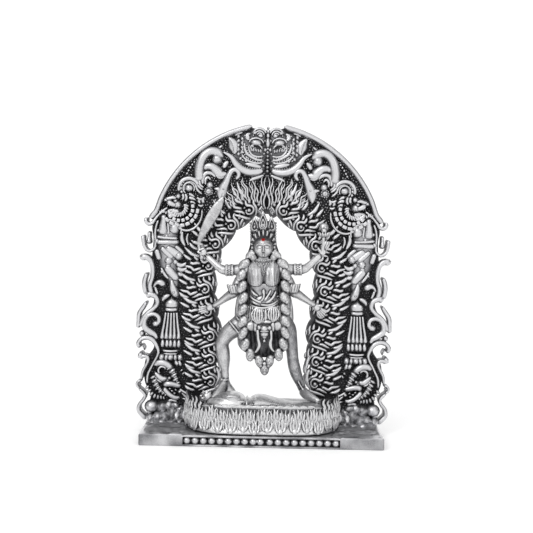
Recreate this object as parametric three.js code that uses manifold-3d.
// A four-armed Kali on a lying figure over a ring of flames, in front of a pierced prabhavali arch.
// Two white-metal castings with an oxidised silver finish: the arch with its base, and the figure group.
// Units are millimetres. +Z is up, the front faces -Y, and the origin is the centre of the underside.

import * as THREE from "three";
import { mergeVertices } from "three/addons/utils/BufferGeometryUtils.js";
import Module from "manifold-3d";

const wasm = await Module();
wasm.setup();

// Driving dimensions of the base
const baseWidth = 90.6;
const baseDepth = 35;
const baseHeight = 4.2;
const baseEdge = 0.35;
const beadCount = 19;
const beadGap = 0.75;
const beadClearance = 0.05;
const channelDepth = 1.5;
const channelFloor = 0.6;
const channelRoof = 0.7;

// Driving dimensions of the arch
const archWidth = 100;
const archHeight = 121;
const archThickness = 5.6;
const archSetback = 0.5;
const carvingHeight = 2.8;
const railWidth = 2.1;
const flameUnits = 9;

// Driving dimensions of the figure group
const pyreWidth = 58;
const pyreHeight = 10.3;
const pyreMargin = 2.4;
const pyreFlameWidth = 2.2;
const pyreFlamesPerRow = 15;
const figureHeight = 73;
const figureLean = 1.8;
const bladeThickness = 1.1;
const headsPerSide = 13;
const castingGap = 0.3;

// The arch is drawn 100 wide and 121 high on a base 4.2 high, and the figure 73 high from the top of its
// ring of flames at 14.8. Both drawings stretch with the driving dimensions.
const archDrawing = { width: 100, top: 121, foot: 4.2 };
const figureDrawing = { height: 73, foot: 14.8 };

// Places that follow from the driving dimensions
const archBack = baseDepth / 2 - archSetback;
const archFront = archBack - archThickness;
const carvingFront = archFront - carvingHeight;
const pyreFloor = baseHeight + castingGap;
const pyreTop = pyreFloor + pyreHeight;
const pyreBack = carvingFront - castingGap;
const pyreFront = -baseDepth / 2 + pyreMargin;
const beadRowWidth = pyreWidth;
const channelHeight = baseHeight - channelFloor - channelRoof;
const acrossArch = archWidth / archDrawing.width;
const upArch = (archHeight - baseHeight) / (archDrawing.top - archDrawing.foot);
const figureScale = figureHeight / figureDrawing.height;

// A point of the arch drawing, at a distance in front of the ground of the carving
const onArch = ([x, z], proud = 0) =>
  new THREE.Vector3(x * acrossArch, archFront - proud, baseHeight + (z - archDrawing.foot) * upArch);

// A closed indexed mesh as a solid. Its faces are turned outwards, and those that fold to a line dropped.
function solidOf(positions, faces) {
  const kept = [];
  let sixVolumes = 0;
  const [a, b, c] = [new THREE.Vector3(), new THREE.Vector3(), new THREE.Vector3()];
  for (let i = 0; i < faces.length; i += 3) {
    const corners = [faces[i], faces[i + 1], faces[i + 2]];
    if (new Set(corners).size < 3) continue;
    kept.push(...corners);
    [a, b, c].forEach((v, k) => v.fromArray(positions, corners[k] * 3));
    sixVolumes += a.dot(b.cross(c));
  }
  if (sixVolumes < 0) kept.reverse();
  const mesh = new wasm.Mesh({
    numProp: 3,
    vertProperties: new Float32Array(positions),
    triVerts: new Uint32Array(kept),
  });
  return new wasm.Manifold(mesh);
}

// A three.js geometry as a solid, with its shared corners merged
function solid(geometry) {
  const bare = geometry.clone();
  Object.keys(bare.attributes)
    .filter((name) => name !== "position")
    .forEach((name) => bare.deleteAttribute(name));
  const merged = mergeVertices(bare, 1e-4);
  return solidOf(Array.from(merged.attributes.position.array), Array.from(merged.index.array));
}

const join = (solids) => wasm.Manifold.union(solids);

// The value at t, from 0 to 1, along a list of values spread evenly
function along(values, t) {
  const place = t * (values.length - 1);
  const low = Math.floor(place);
  const high = Math.min(low + 1, values.length - 1);
  return THREE.MathUtils.lerp(values[low], values[high], place - low);
}

// A rod along a smooth curve. Each ring has a half width across the picture and a half depth towards
// the viewer, both read from lists. A half width of 0 at an end makes a point there. The turn, a share of
// a full circle, puts one edge of the rod towards the viewer unless it is given.
function rod(points, widths, { depths = widths, sides = 4, steps = 5, turn = -0.25 } = {}) {
  const curve = new THREE.CatmullRomCurve3(points, false, "centripetal");
  const inward = new THREE.Vector3(0, 1, 0);
  const positions = [];
  const rings = [];
  for (let i = 0; i <= steps; i++) {
    const t = i / steps;
    const centre = curve.getPoint(t);
    const across = curve.getTangent(t).cross(inward).normalize();
    const width = along(widths, t);
    const corners = width > 0 ? sides : 1;
    rings.push(Array.from({ length: corners }, (_, k) => positions.length / 3 + k));
    for (let k = 0; k < corners; k++) {
      const angle = (k / sides + turn) * 2 * Math.PI;
      const corner = centre.clone();
      if (corners > 1) {
        corner.addScaledVector(across, width * Math.cos(angle));
        corner.addScaledVector(inward, along(depths, t) * Math.sin(angle));
      }
      positions.push(...corner.toArray());
    }
  }
  const faces = [];
  for (let i = 0; i < steps; i++) {
    const [here, next] = [rings[i], rings[i + 1]];
    for (let k = 0; k < sides; k++) {
      const [h0, h1] = [here[k % here.length], here[(k + 1) % here.length]];
      const [n0, n1] = [next[k % next.length], next[(k + 1) % next.length]];
      faces.push(h0, h1, n1, h0, n1, n0);
    }
  }
  for (let k = 1; k < sides - 1; k++) {
    if (rings[0].length > 1) faces.push(rings[0][0], rings[0][k + 1], rings[0][k]);
    if (rings[steps].length > 1) faces.push(rings[steps][0], rings[steps][k], rings[steps][k + 1]);
  }
  return solidOf(positions, faces);
}

// A rod on the arch, drawn by its points in the picture. Its relief is a list of shares of the carving's
// height. With three sides it is a ridge whose flat back is sunk in the ground, so it is drawn wider than
// the part that shows.
function carved(path, widths, { relief = [0.7], sides = 3, steps = 4 } = {}) {
  const spread = acrossArch * (sides === 3 ? 1.5 : 1);
  const depths = relief.map((share) => share * carvingHeight);
  return rod(path.map((point) => onArch(point)), widths.map((w) => w * spread), { depths, sides, steps });
}

// Points of an arc in the picture, angles in degrees counted anticlockwise from +X. The radius may change.
function arcPath([x, z], radius, from, to, endRadius = radius, count = 5) {
  return Array.from({ length: count }, (_, i) => {
    const t = i / (count - 1);
    const angle = THREE.MathUtils.degToRad(THREE.MathUtils.lerp(from, to, t));
    const reach = THREE.MathUtils.lerp(radius, endRadius, t);
    return [x + reach * Math.cos(angle), z + reach * Math.sin(angle)];
  });
}

// An egg shape with its half sizes, placed by its centre and turned about the viewer's line of sight
function egg(centre, [rx, ry, rz], turnDegrees = 0, around = 5, down = 3) {
  const shape = new THREE.SphereGeometry(1, around, down).rotateX(Math.PI / 2).scale(rx, ry, rz);
  shape.rotateY(THREE.MathUtils.degToRad(-turnDegrees));
  shape.translate(centre.x, centre.y, centre.z);
  return solid(shape);
}

// An egg shape half sunk in the ground of the carving, with its relief as a share of the carving's height
const boss = (place, [rx, rz], relief = 0.9, turn = 0, around = 5) =>
  egg(onArch(place), [rx * acrossArch, relief * carvingHeight, rz * upArch], turn, around);

const mirrored = (part) => part.mirror([1, 0, 0]);

// A plate with an outline in the picture, from one depth to another
function plate(points, front, back, holes = []) {
  const shape = new THREE.Shape(points);
  shape.holes = holes.map((hole) => new THREE.Path(hole));
  const geometry = new THREE.ExtrudeGeometry(shape, { depth: back - front, bevelEnabled: false });
  return solid(geometry.rotateX(Math.PI / 2).translate(0, back, 0));
}

// Even points on a smooth line through the given ones, as corners of a flat shape
function smoothLine(points, steps) {
  const curve = new THREE.CatmullRomCurve3(points.map(([x, z]) => new THREE.Vector3(x, z, 0)));
  return curve.getPoints(steps).map((p) => new THREE.Vector2(p.x, p.y));
}

// The base slab, with a sunk channel at the front that holds a row of beads
function makeBase() {
  const plan = new THREE.Shape();
  const [halfWidth, halfDepth] = [baseWidth / 2 - baseEdge, baseDepth / 2 - baseEdge];
  plan.moveTo(-halfWidth, -halfDepth);
  plan.lineTo(halfWidth, -halfDepth);
  plan.lineTo(halfWidth, halfDepth);
  plan.lineTo(-halfWidth, halfDepth);
  const slab = new THREE.ExtrudeGeometry(plan, {
    depth: baseHeight - 2 * baseEdge,
    bevelThickness: baseEdge,
    bevelSize: baseEdge,
    bevelSegments: 1,
  }).translate(0, 0, baseEdge);
  const channelMiddle = channelFloor + channelHeight / 2;
  const channel = new THREE.BoxGeometry(beadRowWidth, 2 * channelDepth, channelHeight);
  channel.translate(0, -baseDepth / 2, channelMiddle);
  const spacing = beadRowWidth / beadCount;
  const bead = [(spacing - beadGap) / 2, channelDepth - beadClearance, channelHeight / 2 - beadClearance];
  const beads = Array.from({ length: beadCount }, (_, i) => {
    const x = (i + 0.5) * spacing - beadRowWidth / 2;
    return egg(new THREE.Vector3(x, channelDepth - baseDepth / 2, channelMiddle), bead);
  });
  return join([solid(slab).subtract(solid(channel)), ...beads]);
}

// The arc of the right rail in the arch's drawing, with angles in degrees, and where the knob at its foot is
const rail = { centre: [-4, 72], radius: 49.1, start: 14.5, end: 78 };
const railFoot = arcPath(rail.centre, rail.radius, rail.start, rail.end)[0];
const railKnob = [railFoot[0] + 1.45, railFoot[1] - 1.1];

// The pierced plate behind the carving: a wavy side, then an arc under the rail up to a dip at the top. Its
// opening goes down into the base, so the arch stands on two legs behind the ring of flames.
function makePlate() {
  const lower = [[44.5, 2], [45.5, 9], [44, 14], [46.4, 19.5], [46.4, 28], [43, 34], [45, 40]];
  const upper = [[46, 45], [43.4, 51], [44, 58], [44.6, 66], [44, 76]];
  const rim = arcPath(rail.centre, rail.radius, rail.start - 6, rail.end, rail.radius, 7);
  const right = [...smoothLine([...lower, ...upper], 16).map((p) => [p.x, p.y]), ...rim, [3, 118.2]];
  const outline = [...right, ...right.map(([x, z]) => [-x, z]).reverse()];
  const openingFoot = archDrawing.foot - 1;
  const jamb = [[18.4, openingFoot], [18.2, 26], [16.4, 38], [18, 49], [19.4, 61], [17.9, 69]];
  const head = [[15.8, 74], [9.6, 81], [4.2, 86.2], [0, 88]];
  const inner = smoothLine([...jamb, ...head], 12).map((p) => [p.x, p.y]);
  const opening = [...inner, ...inner.slice(0, -1).map(([x, z]) => [-x, z]).reverse()];
  const flat = (points) => points.map((point) => onArch(point)).map((v) => new THREE.Vector2(v.x, v.z));
  return plate(flat(outline), archFront, archBack, [flat(opening)]);
}

// The smooth rail over the arch, as deep as the plate and its carving, with a knob at its foot
function makeRail() {
  const half = (railWidth / 2) * Math.SQRT2;
  const depth = ((archThickness + carvingHeight) / 2) * Math.SQRT2;
  const middle = (archBack + carvingFront) / 2;
  const path = arcPath(rail.centre, rail.radius, rail.start, rail.end, rail.radius, 9);
  const points = path.map((point) => onArch(point).setY(middle));
  const bar = rod(points, [half], { depths: [depth], steps: 9, turn: 0.125 });
  return join([bar, boss(railKnob, [2.2, 2.1], 1)]);
}

// The scrolls along the outer edge, from the rail's foot down to the base
function makeSideScrolls() {
  const scroll = (path, widths, steps) => carved(path, widths, { relief: [0.85], sides: 4, steps });
  const even = [0.9, 1, 1, 0.9];
  const upperCurl = [[44.6, 80], [44.6, 74], [44.9, 70.4], [47, 70.6], [47.9, 73.5], [47.6, 77.4]];
  const innerStrand = [[44.4, 69], [44.9, 65.5], [42.9, 62], [44.7, 57.5], [43.6, 53]];
  const outerStrand = [[45.6, 62.3], [47, 58], [46, 53.6]];
  const innerRing = [[46, 53.4], [42.5, 53], [42, 50.2], [44.8, 47.2], [47, 44.8], [48.4, 41.2]];
  const outerRing = [[45.8, 50.6], [48.2, 47.4], [49, 43.5], [48.8, 38.5]];
  const middleCurl = [...arcPath([44.3, 43.2], 2.6, 205, -20, 2.6, 4), [45.7, 39.8], [42.2, 37.8]];
  const lowerCurl = [[41.6, 27], [41.4, 32.5], [43.4, 36.2], [46.3, 37.2], [48.7, 35.6], [48.9, 33]];
  const wave = [[46.4, 32], [47.8, 29.3], [47.2, 25], [48, 20]];
  const foot = [[48.4, 20.2], [46.6, 14.4], [48, 9.8], [45.2, 4.6]];
  return join([
    scroll(upperCurl, even, 5),
    scroll(arcPath([46.6, 66.4], 1.7, -150, 110, 1.2), [1.1, 1.2], 3),
    scroll(innerStrand, even, 4),
    scroll(outerStrand, [0.8, 1, 0.8], 2),
    scroll(innerRing, even, 6),
    scroll(outerRing, [0.9, 1, 1], 3),
    scroll(middleCurl, [1.4, 1, 1.2, 1.2], 6),
    scroll(lowerCurl, even, 6),
    boss([46.8, 33.2], [2, 1.6]),
    scroll(wave, [0.9], 3),
    scroll(foot, [1.2, 0.8, 0.9, 0.8], 3),
  ]);
}

// A curl with tongues of fire that rise outwards from it
function makeFlameUnit([x, z], heading) {
  const [c, s] = [Math.cos(heading), Math.sin(heading)];
  const place = ([u, v]) => [x + u * c - v * s, z + u * s + v * c];
  const tongue = ([u, v], length) =>
    carved([[u, v], [u + length * 0.4, v - 0.3], [u + length, v + 0.5]].map(place), [0, 0.75, 0], {
      relief: [0, 0.8, 0],
      steps: 2,
    });
  return join([
    carved(arcPath([0, 0], 0.7, 340, -20, 2.1, 6).map(place), [0.5, 0.6], { steps: 5 }),
    tongue([2.6, 2.1], 7.6),
    tongue([3.2, 0.1], 8),
    tongue([2.6, -2], 8),
  ]);
}

// The flame band up one jamb and over to the middle of the arch, with the tall tongues at the crown
function makeFlames() {
  const curls = [[20.4, 20.2], [21, 37.9], [23.2, 56.4], [19.6, 74.1], [6.7, 87.5]];
  const line = new THREE.CatmullRomCurve3(curls.map(([x, z]) => new THREE.Vector3(x, z, 0)));
  const units = Array.from({ length: flameUnits }, (_, i) => {
    const share = i / (flameUnits - 1);
    const { x, y } = line.getPointAt(share);
    return makeFlameUnit([x, y], THREE.MathUtils.degToRad(16 + 22 * share * share));
  });
  const crown = [[1.4, 91, 12.5, 90], [4, 92, 11.5, 82], [6.6, 92.5, 11, 74], [9.4, 92, 11, 64]];
  const tongues = crown.map(([x, z, length, degrees]) => {
    const heading = THREE.MathUtils.degToRad(degrees);
    const step = (share, aside) => [
      x + length * share * Math.cos(heading) + aside * Math.sin(heading),
      z + length * share * Math.sin(heading) - aside * Math.cos(heading),
    ];
    const path = [step(0, 0), step(0.35, 0.8), step(0.7, -0.6), step(1, 0.4)];
    return carved(path, [0, 0.8, 0.7, 0], { relief: [0, 0.8, 0.7, 0], steps: 3 });
  });
  return join([...units, ...tongues]);
}

// The big scroll at the shoulder: a trunk that curls over, leaves inside it, and a hooked bird's neck
function makeShoulderScroll() {
  const crook = [[19.2, 106], [18.6, 109], [22, 110.8], [25.4, 108.6]];
  const trunk = [[27, 103.5], [27.6, 98.5], [26.2, 94], [22.4, 92.8]];
  const taper = [2, 1.8, 1.6, 1.3, 1.2, 1.2, 1.2, 0.9];
  return join([
    carved([...crook, ...trunk], taper, { relief: [0.95], sides: 4, steps: 8 }),
    boss([19.7, 106.2], [2, 2.1], 1),
    carved([[24, 102], [22.4, 104.4], [20.2, 102.6], [18, 100.6], [16.4, 102]], [0, 1, 1.2, 0.9, 0]),
    carved([[24, 96.6], [24, 101], [21.6, 102.4]], [0.7, 1, 0], { steps: 2 }),
    boss([21.6, 98.4], [1.3, 1.5], 0.82),
    carved(
      [[11.8, 99.8], [11.6, 102], [13.8, 103.2], [15.6, 100.6], [16.8, 96.8], [16.4, 93], [15.6, 91]],
      [0.7, 0.9, 0.9, 1, 1.3, 1.5, 0],
      { relief: [0.85], steps: 6 },
    ),
    carved([[16.6, 94], [20.4, 95.2]], [1, 0], { steps: 1 }),
    boss([22.6, 93.9], [1.9, 1.9], 0.79),
    boss([30.5, 95.6], [1.5, 1.5], 0.79),
    carved(arcPath([30.5, 95.6], 3, 200, -10), [0.6], { relief: [0.6], steps: 3 }),
  ]);
}

// Half of the lion mask at the top: eye, brow, cheek, tooth row, ear and horn, with half the nose
function makeHalfMask() {
  return join([
    boss([0, 113.6], [8.4, 5.2], 0.64, 0, 8),
    boss([4, 116.4], [1.6, 1.5], 1),
    carved([[1.8, 113.4], [4.8, 114.4], [7.2, 115.4]], [0.6, 1, 0.5], { relief: [0.95], steps: 2 }),
    carved([[0.6, 118.6], [0.6, 112.6], [0.6, 109]], [0.5, 1, 0.9], { relief: [1], steps: 2 }),
    carved([[2, 110.6], [5.6, 111.4], [8, 113.6]], [0.5, 0.9, 0.4], { relief: [0.85], steps: 2 }),
    carved([[2.4, 106.6], [7, 106.6], [10, 109]], [0, 1.2, 0.5], { steps: 2 }),
    carved([[13, 110], [13.6, 113], [14.4, 115.6]], [0.5, 1.4, 0], { steps: 2 }),
    carved([[1.6, 104], [6.4, 103], [12.4, 106], [17, 110.4]], [0.5, 1.5, 1.3, 0], { relief: [0.85] }),
  ]);
}

// The rearing lion with its scaled collar, raised arm and belted body, over the pillar
function makeLion() {
  return join([
    boss([33.6, 87.6], [4, 3.6], 1, 20),
    boss([37.4, 86.6], [2.2, 1.8], 1),
    carved(arcPath([32.6, 86.6], 5.4, 150, 420, 5.4, 8), [0.9], { relief: [0.8], steps: 6 }),
    carved([[37.4, 77], [41.2, 79.4], [40.6, 84.2], [41.8, 85.6]], [1.8, 1.5, 1, 1.1], { steps: 3 }),
    boss([36.6, 78.4], [3.4, 3.6], 1, 10),
    carved([[43, 74.8], [38, 74.9], [33.8, 75]], [0.9], { relief: [1], steps: 1 }),
    carved(arcPath([28, 76], 4, -42, 42), [0.3, 0.8, 0.3], { relief: [0.6], steps: 2 }),
    carved(
      [[36.4, 74], [35, 69.6], [34.4, 64], [34.8, 58.4], [36.4, 54]],
      [3.2, 3.4, 2.1, 1.2, 0.9],
      { relief: [0.85, 1, 0.8, 0.65, 0.6], sides: 4 },
    ),
    boss([38, 66.6], [2.1, 2.1], 1),
  ]);
}

// The fluted pillar with a dome on top, and the lotus cup it stands in
function makePillar() {
  const profile = [[0, 31.4], [2.4, 31.8], [3.4, 37.6], [2.3, 42], [1.7, 46.4], [2.5, 46.8]];
  const dome = [[2.5, 48.2], [2.2, 50.4], [0, 53.2]];
  const pillarRelief = carvingHeight / Math.max(...profile.map(([x]) => x * acrossArch));
  const corners = [...profile, ...dome].map(([x, z]) => {
    const place = onArch([x, z]);
    return new THREE.Vector2(place.x, place.z);
  });
  const turned = new THREE.LatheGeometry(corners, 6).rotateX(Math.PI / 2).scale(1, pillarRelief, 1);
  const foot = onArch([36.2, archDrawing.foot]);
  const pillar = solid(turned.translate(foot.x, archFront, 0));
  const flutes = [-1.6, 1.6].map((aside) => {
    const path = [[36.2 + aside * 0.7, 46.4], [36.2 + aside, 41], [36.2 + aside * 1.3, 35.4]];
    return carved(path, [0.5, 0.9], { relief: [0.95], steps: 1 });
  });
  const cup = carved([[36, 31.8], [36, 29.4], [36, 27.4]], [1.2, 2.6, 1.4], { relief: [0.7, 0.95, 0.7] });
  return join([pillar, ...flutes, cup]);
}

// The sea beast at the foot: open jaws, a curled snout and ribbed coils, over rocks and an egg
function makeSeaBeast() {
  const beast = (path, widths, steps) => carved(path, widths, { relief: [0.95], steps });
  return join([
    beast([[31.4, 18.4], [35, 20.2], [38.9, 18.9], [36.6, 16.2]], [0.7, 1.3, 1.2, 0.8], 5),
    beast([[37.6, 17.4], [34.4, 14.4], [30.4, 12.2]], [1.2, 1.1, 0.6], 2),
    beast([[34.6, 23], [38, 26.4], [41.6, 24.8], [40.8, 21.6], [38, 21]], [1.5, 1.6, 1.2, 0.8], 5),
    beast([[32.4, 26], [34.2, 23.2], [33.2, 20]], [1, 1.6, 1.2], 2),
    beast([[41.8, 22], [42.6, 18], [40.6, 14.4]], [1.2], 2),
    beast([[44.2, 17.6], [41.6, 14.6], [37.4, 13.4]], [1.1], 2),
    boss([44, 10.2], [2.6, 2.3], 1),
    boss([39, 10.4], [2.8, 3.2], 1, 20),
    boss([35.4, 8], [3.6, 4], 1),
    boss([41, 6], [4, 2.6], 1),
    boss([32.2, 5.4], [2.8, 3.4], 1),
  ]);
}

function makeArch() {
  const half = join([
    makeRail(),
    makeSideScrolls(),
    makeFlames(),
    makeShoulderScroll(),
    makeHalfMask(),
    makeLion(),
    makePillar(),
    makeSeaBeast(),
  ]);
  return join([makeBase(), makePlate(), half, mirrored(half)]);
}

// A point of the figure drawing. Heights are drawn above the table, and y is towards the back from the
// middle of the body, which stands half way between the ring's front and the arch.
const figureMiddle = carvingFront - 7 * figureScale;
const onFigure = ([x, y, z]) =>
  new THREE.Vector3(
    x * figureScale,
    figureMiddle + y * figureScale,
    pyreTop + (z - figureDrawing.foot) * figureScale,
  );

const limb = (points, widths, rest = {}) => {
  const scaled = (values) => values.map((v) => v * figureScale);
  const depths = scaled(rest.depths ?? widths);
  return rod(points.map(onFigure), scaled(widths), { ...rest, depths });
};

const lump = (place, sizes, turn = 0, around = 5, down = 3) =>
  egg(onFigure(place), sizes.map((v) => v * figureScale), turn, around, down);

// The ring of flames: a drum with a squarish front, and rows of short tongues on its wall
function makePyre() {
  const halfWidth = pyreWidth / 2;
  const reach = pyreBack - pyreFront;
  const squareness = 2 / 3;
  const wall = (share) => {
    const angle = share * Math.PI;
    const [c, s] = [Math.cos(angle), Math.sin(angle)];
    const x = -halfWidth * Math.sign(c) * Math.abs(c) ** squareness;
    return new THREE.Vector2(x, pyreBack - reach * s ** squareness);
  };
  const wallSteps = 18;
  const plan = new THREE.Shape(Array.from({ length: wallSteps + 1 }, (_, i) => wall(i / wallSteps)));
  const drum = solid(
    new THREE.ExtrudeGeometry(plan, { depth: pyreHeight, bevelEnabled: false }).translate(0, 0, pyreFloor),
  );
  const tongues = [];
  const height = pyreHeight * 0.44;
  for (const [level, shift] of [[0.72, 0.5], [0.4, 0]]) {
    for (let i = 0; i < pyreFlamesPerRow; i++) {
      const { x, y } = wall(0.05 + (0.9 * (i + shift)) / pyreFlamesPerRow);
      const foot = pyreFloor + pyreHeight * level - height / 2;
      const sway = (t) => (pyreFlameWidth / 4) * Math.sin(t * 6);
      const points = [0, 0.5, 1].map((t) => new THREE.Vector3(x + sway(t), y, foot + height * t));
      const widths = [0, pyreFlameWidth / 2, 0];
      tongues.push(rod(points, widths, { sides: 3, steps: 2 }));
    }
  }
  return join([drum, ...tongues]);
}

// The figure that lies on the ring, head to the left
function makeLyingFigure() {
  const trunk = [[-19, 16], [-14.6, 16.2], [-10.6, 16.4], [-4.4, 15], [1, 15.6]];
  const legs = [[6, 15], [13, 14.4], [21, 14.6]];
  return join([
    limb(
      [...trunk, ...legs].map(([x, z]) => [x, -1.4, z]),
      [0.8, 2, 2.2, 1.9, 2.2, 1.7, 1.2, 0.8],
      { depths: [1, 2.6, 3.2, 2.8, 3.2, 3, 2.6, 2], sides: 6, steps: 8 },
    ),
    lump([-20, -2, 16.6], [2.1, 2.2, 1.7], 10),
    limb([[-13, -4.4, 16.2], [-9, -5.4, 15.6], [-4, -5.6, 15.2]], [0.8, 0.9, 0.7], { steps: 2 }),
  ]);
}

// The two legs, planted wide, with their feet
function makeLegs() {
  const leftLine = [[-4, 47], [-9.6, 43.6], [-15, 39.6], [-15, 33], [-14.4, 27], [-14, 20], [-13.6, 15.9]];
  const rightLine = [[4, 48], [7.4, 42], [9.8, 36], [12, 29], [14.6, 22], [15.7, 15.6]];
  const leg = (line, widths) =>
    limb(line.map(([x, z]) => [x, 0.8, z]), widths, { sides: 6, steps: 6 });
  return join([
    leg(leftLine, [3.4, 3.1, 2.4, 2.1, 2.1, 1.4, 1.5]),
    limb([[-12.4, 1.6, 17.6], [-15.6, -0.8, 17], [-19, -3.6, 15.6]], [1.4, 1.5, 0.7], { steps: 2 }),
    leg(rightLine, [3.4, 3.4, 2.6, 2.3, 1.5, 1.4]),
    limb([[14.6, 1.6, 15.9], [17.6, -0.8, 15.7], [21, -3.2, 15.1]], [1.5, 1.6, 0.8], { steps: 2 }),
  ]);
}

// Trunk, bust, neck and head, and the skirt with its swags and the mask that hangs from the belt
function makeBody() {
  const swags = [-3.4, 3.4].flatMap((x) =>
    [0, 2].map((drop) => {
      const reach = 2.4 - drop * 0.4;
      const path = [[x - reach, -2.6, 50.4], [x, -3.3, 46.8 - drop], [x + reach, -2.6, 50.4]];
      return limb(path, [0.6], { depths: [0.9], sides: 3, steps: 2 });
    }),
  );
  const trunk = [[0, 1, 66.6], [0, 0.8, 63], [0, 1, 58], [0, 1, 54], [0, 1, 50]];
  const skirt = [[0, 1, 51.6], [0, 1, 47], [0, 1, 42.4]];
  const belt = [[-5.4, -1.2, 51.6], [0, -2.8, 50.2], [5.4, -1.2, 51.6]];
  return join([
    limb(trunk, [4.4, 6, 5.2, 4.7, 5.6], { depths: [1.8, 2.8, 2.4, 2.3, 2.7], sides: 7, steps: 4 }),
    lump([-2.9, -1.3, 61], [2.8, 2.4, 3.3], 0, 6, 4),
    lump([2.9, -1.3, 61], [2.8, 2.4, 3.3], 0, 6, 4),
    limb([[0, 0.8, 65], [0, 0.6, 71]], [2, 1.8], { steps: 1, sides: 5 }),
    lump([0, 0.2, 73.4], [3.7, 3.7, 4.4], 0, 8, 5),
    limb([[0, -3.1, 74.2], [0, -3.9, 72.8]], [0.5, 0.8], { sides: 3, steps: 1 }),
    lump([-4.3, 0.2, 69.4], [1.4, 1.4, 1.4]),
    lump([4.3, 0.2, 69.4], [1.4, 1.4, 1.4]),
    limb(skirt, [5.7, 6.6, 7], { depths: [3, 3.4, 3.4], sides: 8, steps: 2 }),
    limb(belt, [0.6], { depths: [0.9], sides: 3, steps: 3 }),
    ...swags,
    lump([0, -2.8, 41.8], [2, 1.8, 2]),
    limb([[-2, -2.4, 42], [-2.2, -2.6, 38], [-4, -2.4, 34.6]], [0.9, 0.8, 0.6], { steps: 2 }),
    limb([[2, -2.4, 42], [2.6, -2.6, 38], [3.8, -2.4, 34.8]], [0.9, 0.8, 0.6], { steps: 2 }),
  ]);
}

// The tall crown: a ring with three upright leaves and a row of rays over the forehead
function makeCrown() {
  const leaf = (x, y, foot, tip, width) =>
    limb([[x, y, foot], [x, y - 0.3, (foot * 2 + tip) / 3], [x, y + 0.4, tip]], [width * 0.5, width, 0], {
      depths: [0.8, 1, 0],
      steps: 2,
    });
  const brow = [[-4.6, -1, 76], [-3, -3.2, 77.8], [0, -4, 78.4], [3, -3.2, 77.8], [4.6, -1, 76]];
  const core = [[0, 0.6, 75.4], [0, 0.6, 78], [0, 0.8, 84]];
  return join([
    limb(core, [4.4, 4.7, 4], { depths: [4.2, 4.3, 3], sides: 7, steps: 2 }),
    leaf(0, -2.8, 80, 87.6, 2.1),
    leaf(-3.6, -1, 78, 86.4, 1.7),
    leaf(3.6, -1, 78, 86.4, 1.7),
    limb(brow, [0.8], { steps: 4 }),
  ]);
}

// The loose hair behind the body, down to below the skirt
function makeHair() {
  const half = [[4.4, 77], [5.4, 71], [7.6, 65], [8.4, 52], [8.8, 40], [8.4, 34.6], [5, 32.4], [0, 31.6]];
  const line = [...half, ...half.slice(0, -1).map(([x, z]) => [-x, z]).reverse()];
  const corners = line.map(([x, z]) => onFigure([x, 0, z]));
  const outline = corners.map((v) => new THREE.Vector2(v.x, v.z));
  const [front, back] = [onFigure([0, 1.6, 0]).y, onFigure([0, 4.6, 0]).y];
  return plate(outline, front, back);
}

// The garland of heads, from behind the neck down both sides to the hanging head at the middle. Each side
// is one rod that swells at every head.
function makeGarland() {
  const line = [[5, -0.2, 69.6], [8.2, -0.8, 63.6], [8.2, -2.2, 52], [8.2, -2.8, 45], [8.4, -2.8, 38.6]];
  const foot = [[6.2, -2.8, 33.4], [0.6, -2.8, 29.6]];
  const curve = new THREE.CatmullRomCurve3([...line, ...foot].map((place) => new THREE.Vector3(...place)));
  const steps = 2 * headsPerSide;
  const even = curve.getSpacedPoints(steps).map((p) => p.toArray());
  const swells = even.map((_, i) => (i % 2 ? 1.75 : 1));
  const half = limb(even, swells, { sides: 5, steps });
  return join([half, mirrored(half), lump([0, -2.6, 27.8], [1.7, 1.8, 2.4])]);
}

// A hand as a palm with its fingers together, pointing at an angle in the picture
function makeHand([x, y, z], degrees) {
  const heading = THREE.MathUtils.degToRad(degrees);
  const [c, s] = [Math.cos(heading), Math.sin(heading)];
  const path = [-0.8, 1.2, 3.4].map((reach) => [x + reach * c, y, z + reach * s]);
  return limb(path, [1, 1.5, 0.7], { depths: [0.8, 0.9, 0.5], steps: 2 });
}

// The four arms, which swell at their armlets, and what the upper hands hold
function makeArms() {
  const girths = [2.2, 1.8, 2.3, 1.6, 1.6, 1.4, 1.1];
  const arm = (line, side) =>
    limb(line.map(([x, y, z]) => [side * x, y, z]), girths, { sides: 5, steps: 6 });
  const upper = [[5, 1, 65], [10, 1.4, 65], [14.4, 2, 64.6], [18.4, 3.4, 66.6], [23, 5, 71]];
  const lower = [[6.6, 1.6, 64], [9.8, 1.4, 60.6], [11.2, 1.2, 57.6], [15, 2.8, 54.2], [19.6, 5, 50.4]];
  return join([
    arm(upper, -1),
    arm(upper, 1),
    arm(lower, -1),
    arm(lower, 1),
    makeHand([-23.6, 5, 71.6], 100),
    makeHand([23, 5, 71.6], 85),
    makeHand([-20.4, 5, 50], 185),
    makeHand([20, 5, 50], -40),
    makeSword(),
    limb([[23, 4.6, 71], [24, 4.6, 79.4]], [0.8, 0.8], { sides: 3, steps: 1 }),
    lump([24, 4.6, 80.6], [2.1, 1.7, 1.8], 10),
  ]);
}

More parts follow.
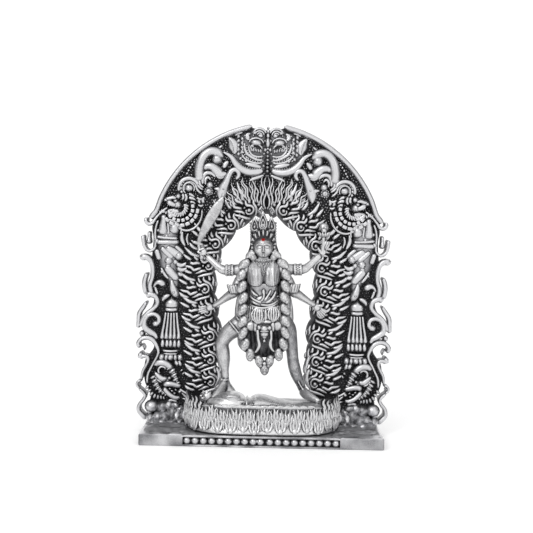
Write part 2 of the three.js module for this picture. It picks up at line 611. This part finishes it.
// The broad curved sword, with a cross-piece over the hand
function makeSword() {
  const back = [[-25.4, 74.6], [-24, 79.4], [-21.6, 86], [-18.6, 91], [-14.4, 93]];
  const edge = [[-15.6, 88.6], [-18.4, 82.8], [-22.4, 76.8], [-24.2, 73.8]];
  const corners = [...back, ...edge].map(([x, z]) => onFigure([x, 0, z]));
  const outline = corners.map((v) => new THREE.Vector2(v.x, v.z));
  const middle = onFigure([0, 5, 0]).y;
  const blade = plate(outline, middle - bladeThickness / 2, middle + bladeThickness / 2);
  const guard = limb([[-26.6, 5, 75.4], [-23, 5, 74.4]], [0.8], { sides: 3, steps: 1 });
  const grip = limb([[-24.9, 5, 75.2], [-23.6, 5, 70]], [1], { sides: 3, steps: 1 });
  return join([blade, guard, grip]);
}

// The standing figure leans a little to one side about the foot of its garland
function makeFigureGroup() {
  const upright = join([makeBody(), makeCrown(), makeHair(), makeGarland(), makeArms()]);
  const pivot = onFigure([0, 0, 27]);
  const leaned = upright
    .translate([-pivot.x, -pivot.y, -pivot.z])
    .rotate([0, -figureLean, 0])
    .translate([pivot.x, pivot.y, pivot.z]);
  return join([makePyre(), makeLyingFigure(), makeLegs(), leaned]);
}

// A solid as a named mesh with flat faces
function meshOf(name, part, material) {
  const { vertProperties, triVerts, numProp } = part.getMesh();
  const geometry = new THREE.BufferGeometry();
  const positions = new Float32Array((vertProperties.length / numProp) * 3);
  for (let i = 0; i < positions.length / 3; i++) {
    positions.set(vertProperties.subarray(i * numProp, i * numProp + 3), i * 3);
  }
  geometry.setAttribute("position", new THREE.BufferAttribute(positions, 3));
  geometry.setIndex(new THREE.BufferAttribute(triVerts, 1));
  geometry.computeVertexNormals();
  const mesh = new THREE.Mesh(geometry, material);
  mesh.name = name;
  return mesh;
}

const oxidisedSilver = new THREE.MeshStandardMaterial({ color: 0xa9a9ab, roughness: 0.38, metalness: 0.9 });
const polishedSilver = new THREE.MeshStandardMaterial({ color: 0xbdbdbe, roughness: 0.32, metalness: 0.9 });

const group = new THREE.Group();
group.add(meshOf("arch_and_base", makeArch(), oxidisedSilver));
group.add(meshOf("kali_group", makeFigureGroup(), polishedSilver));

export default group;
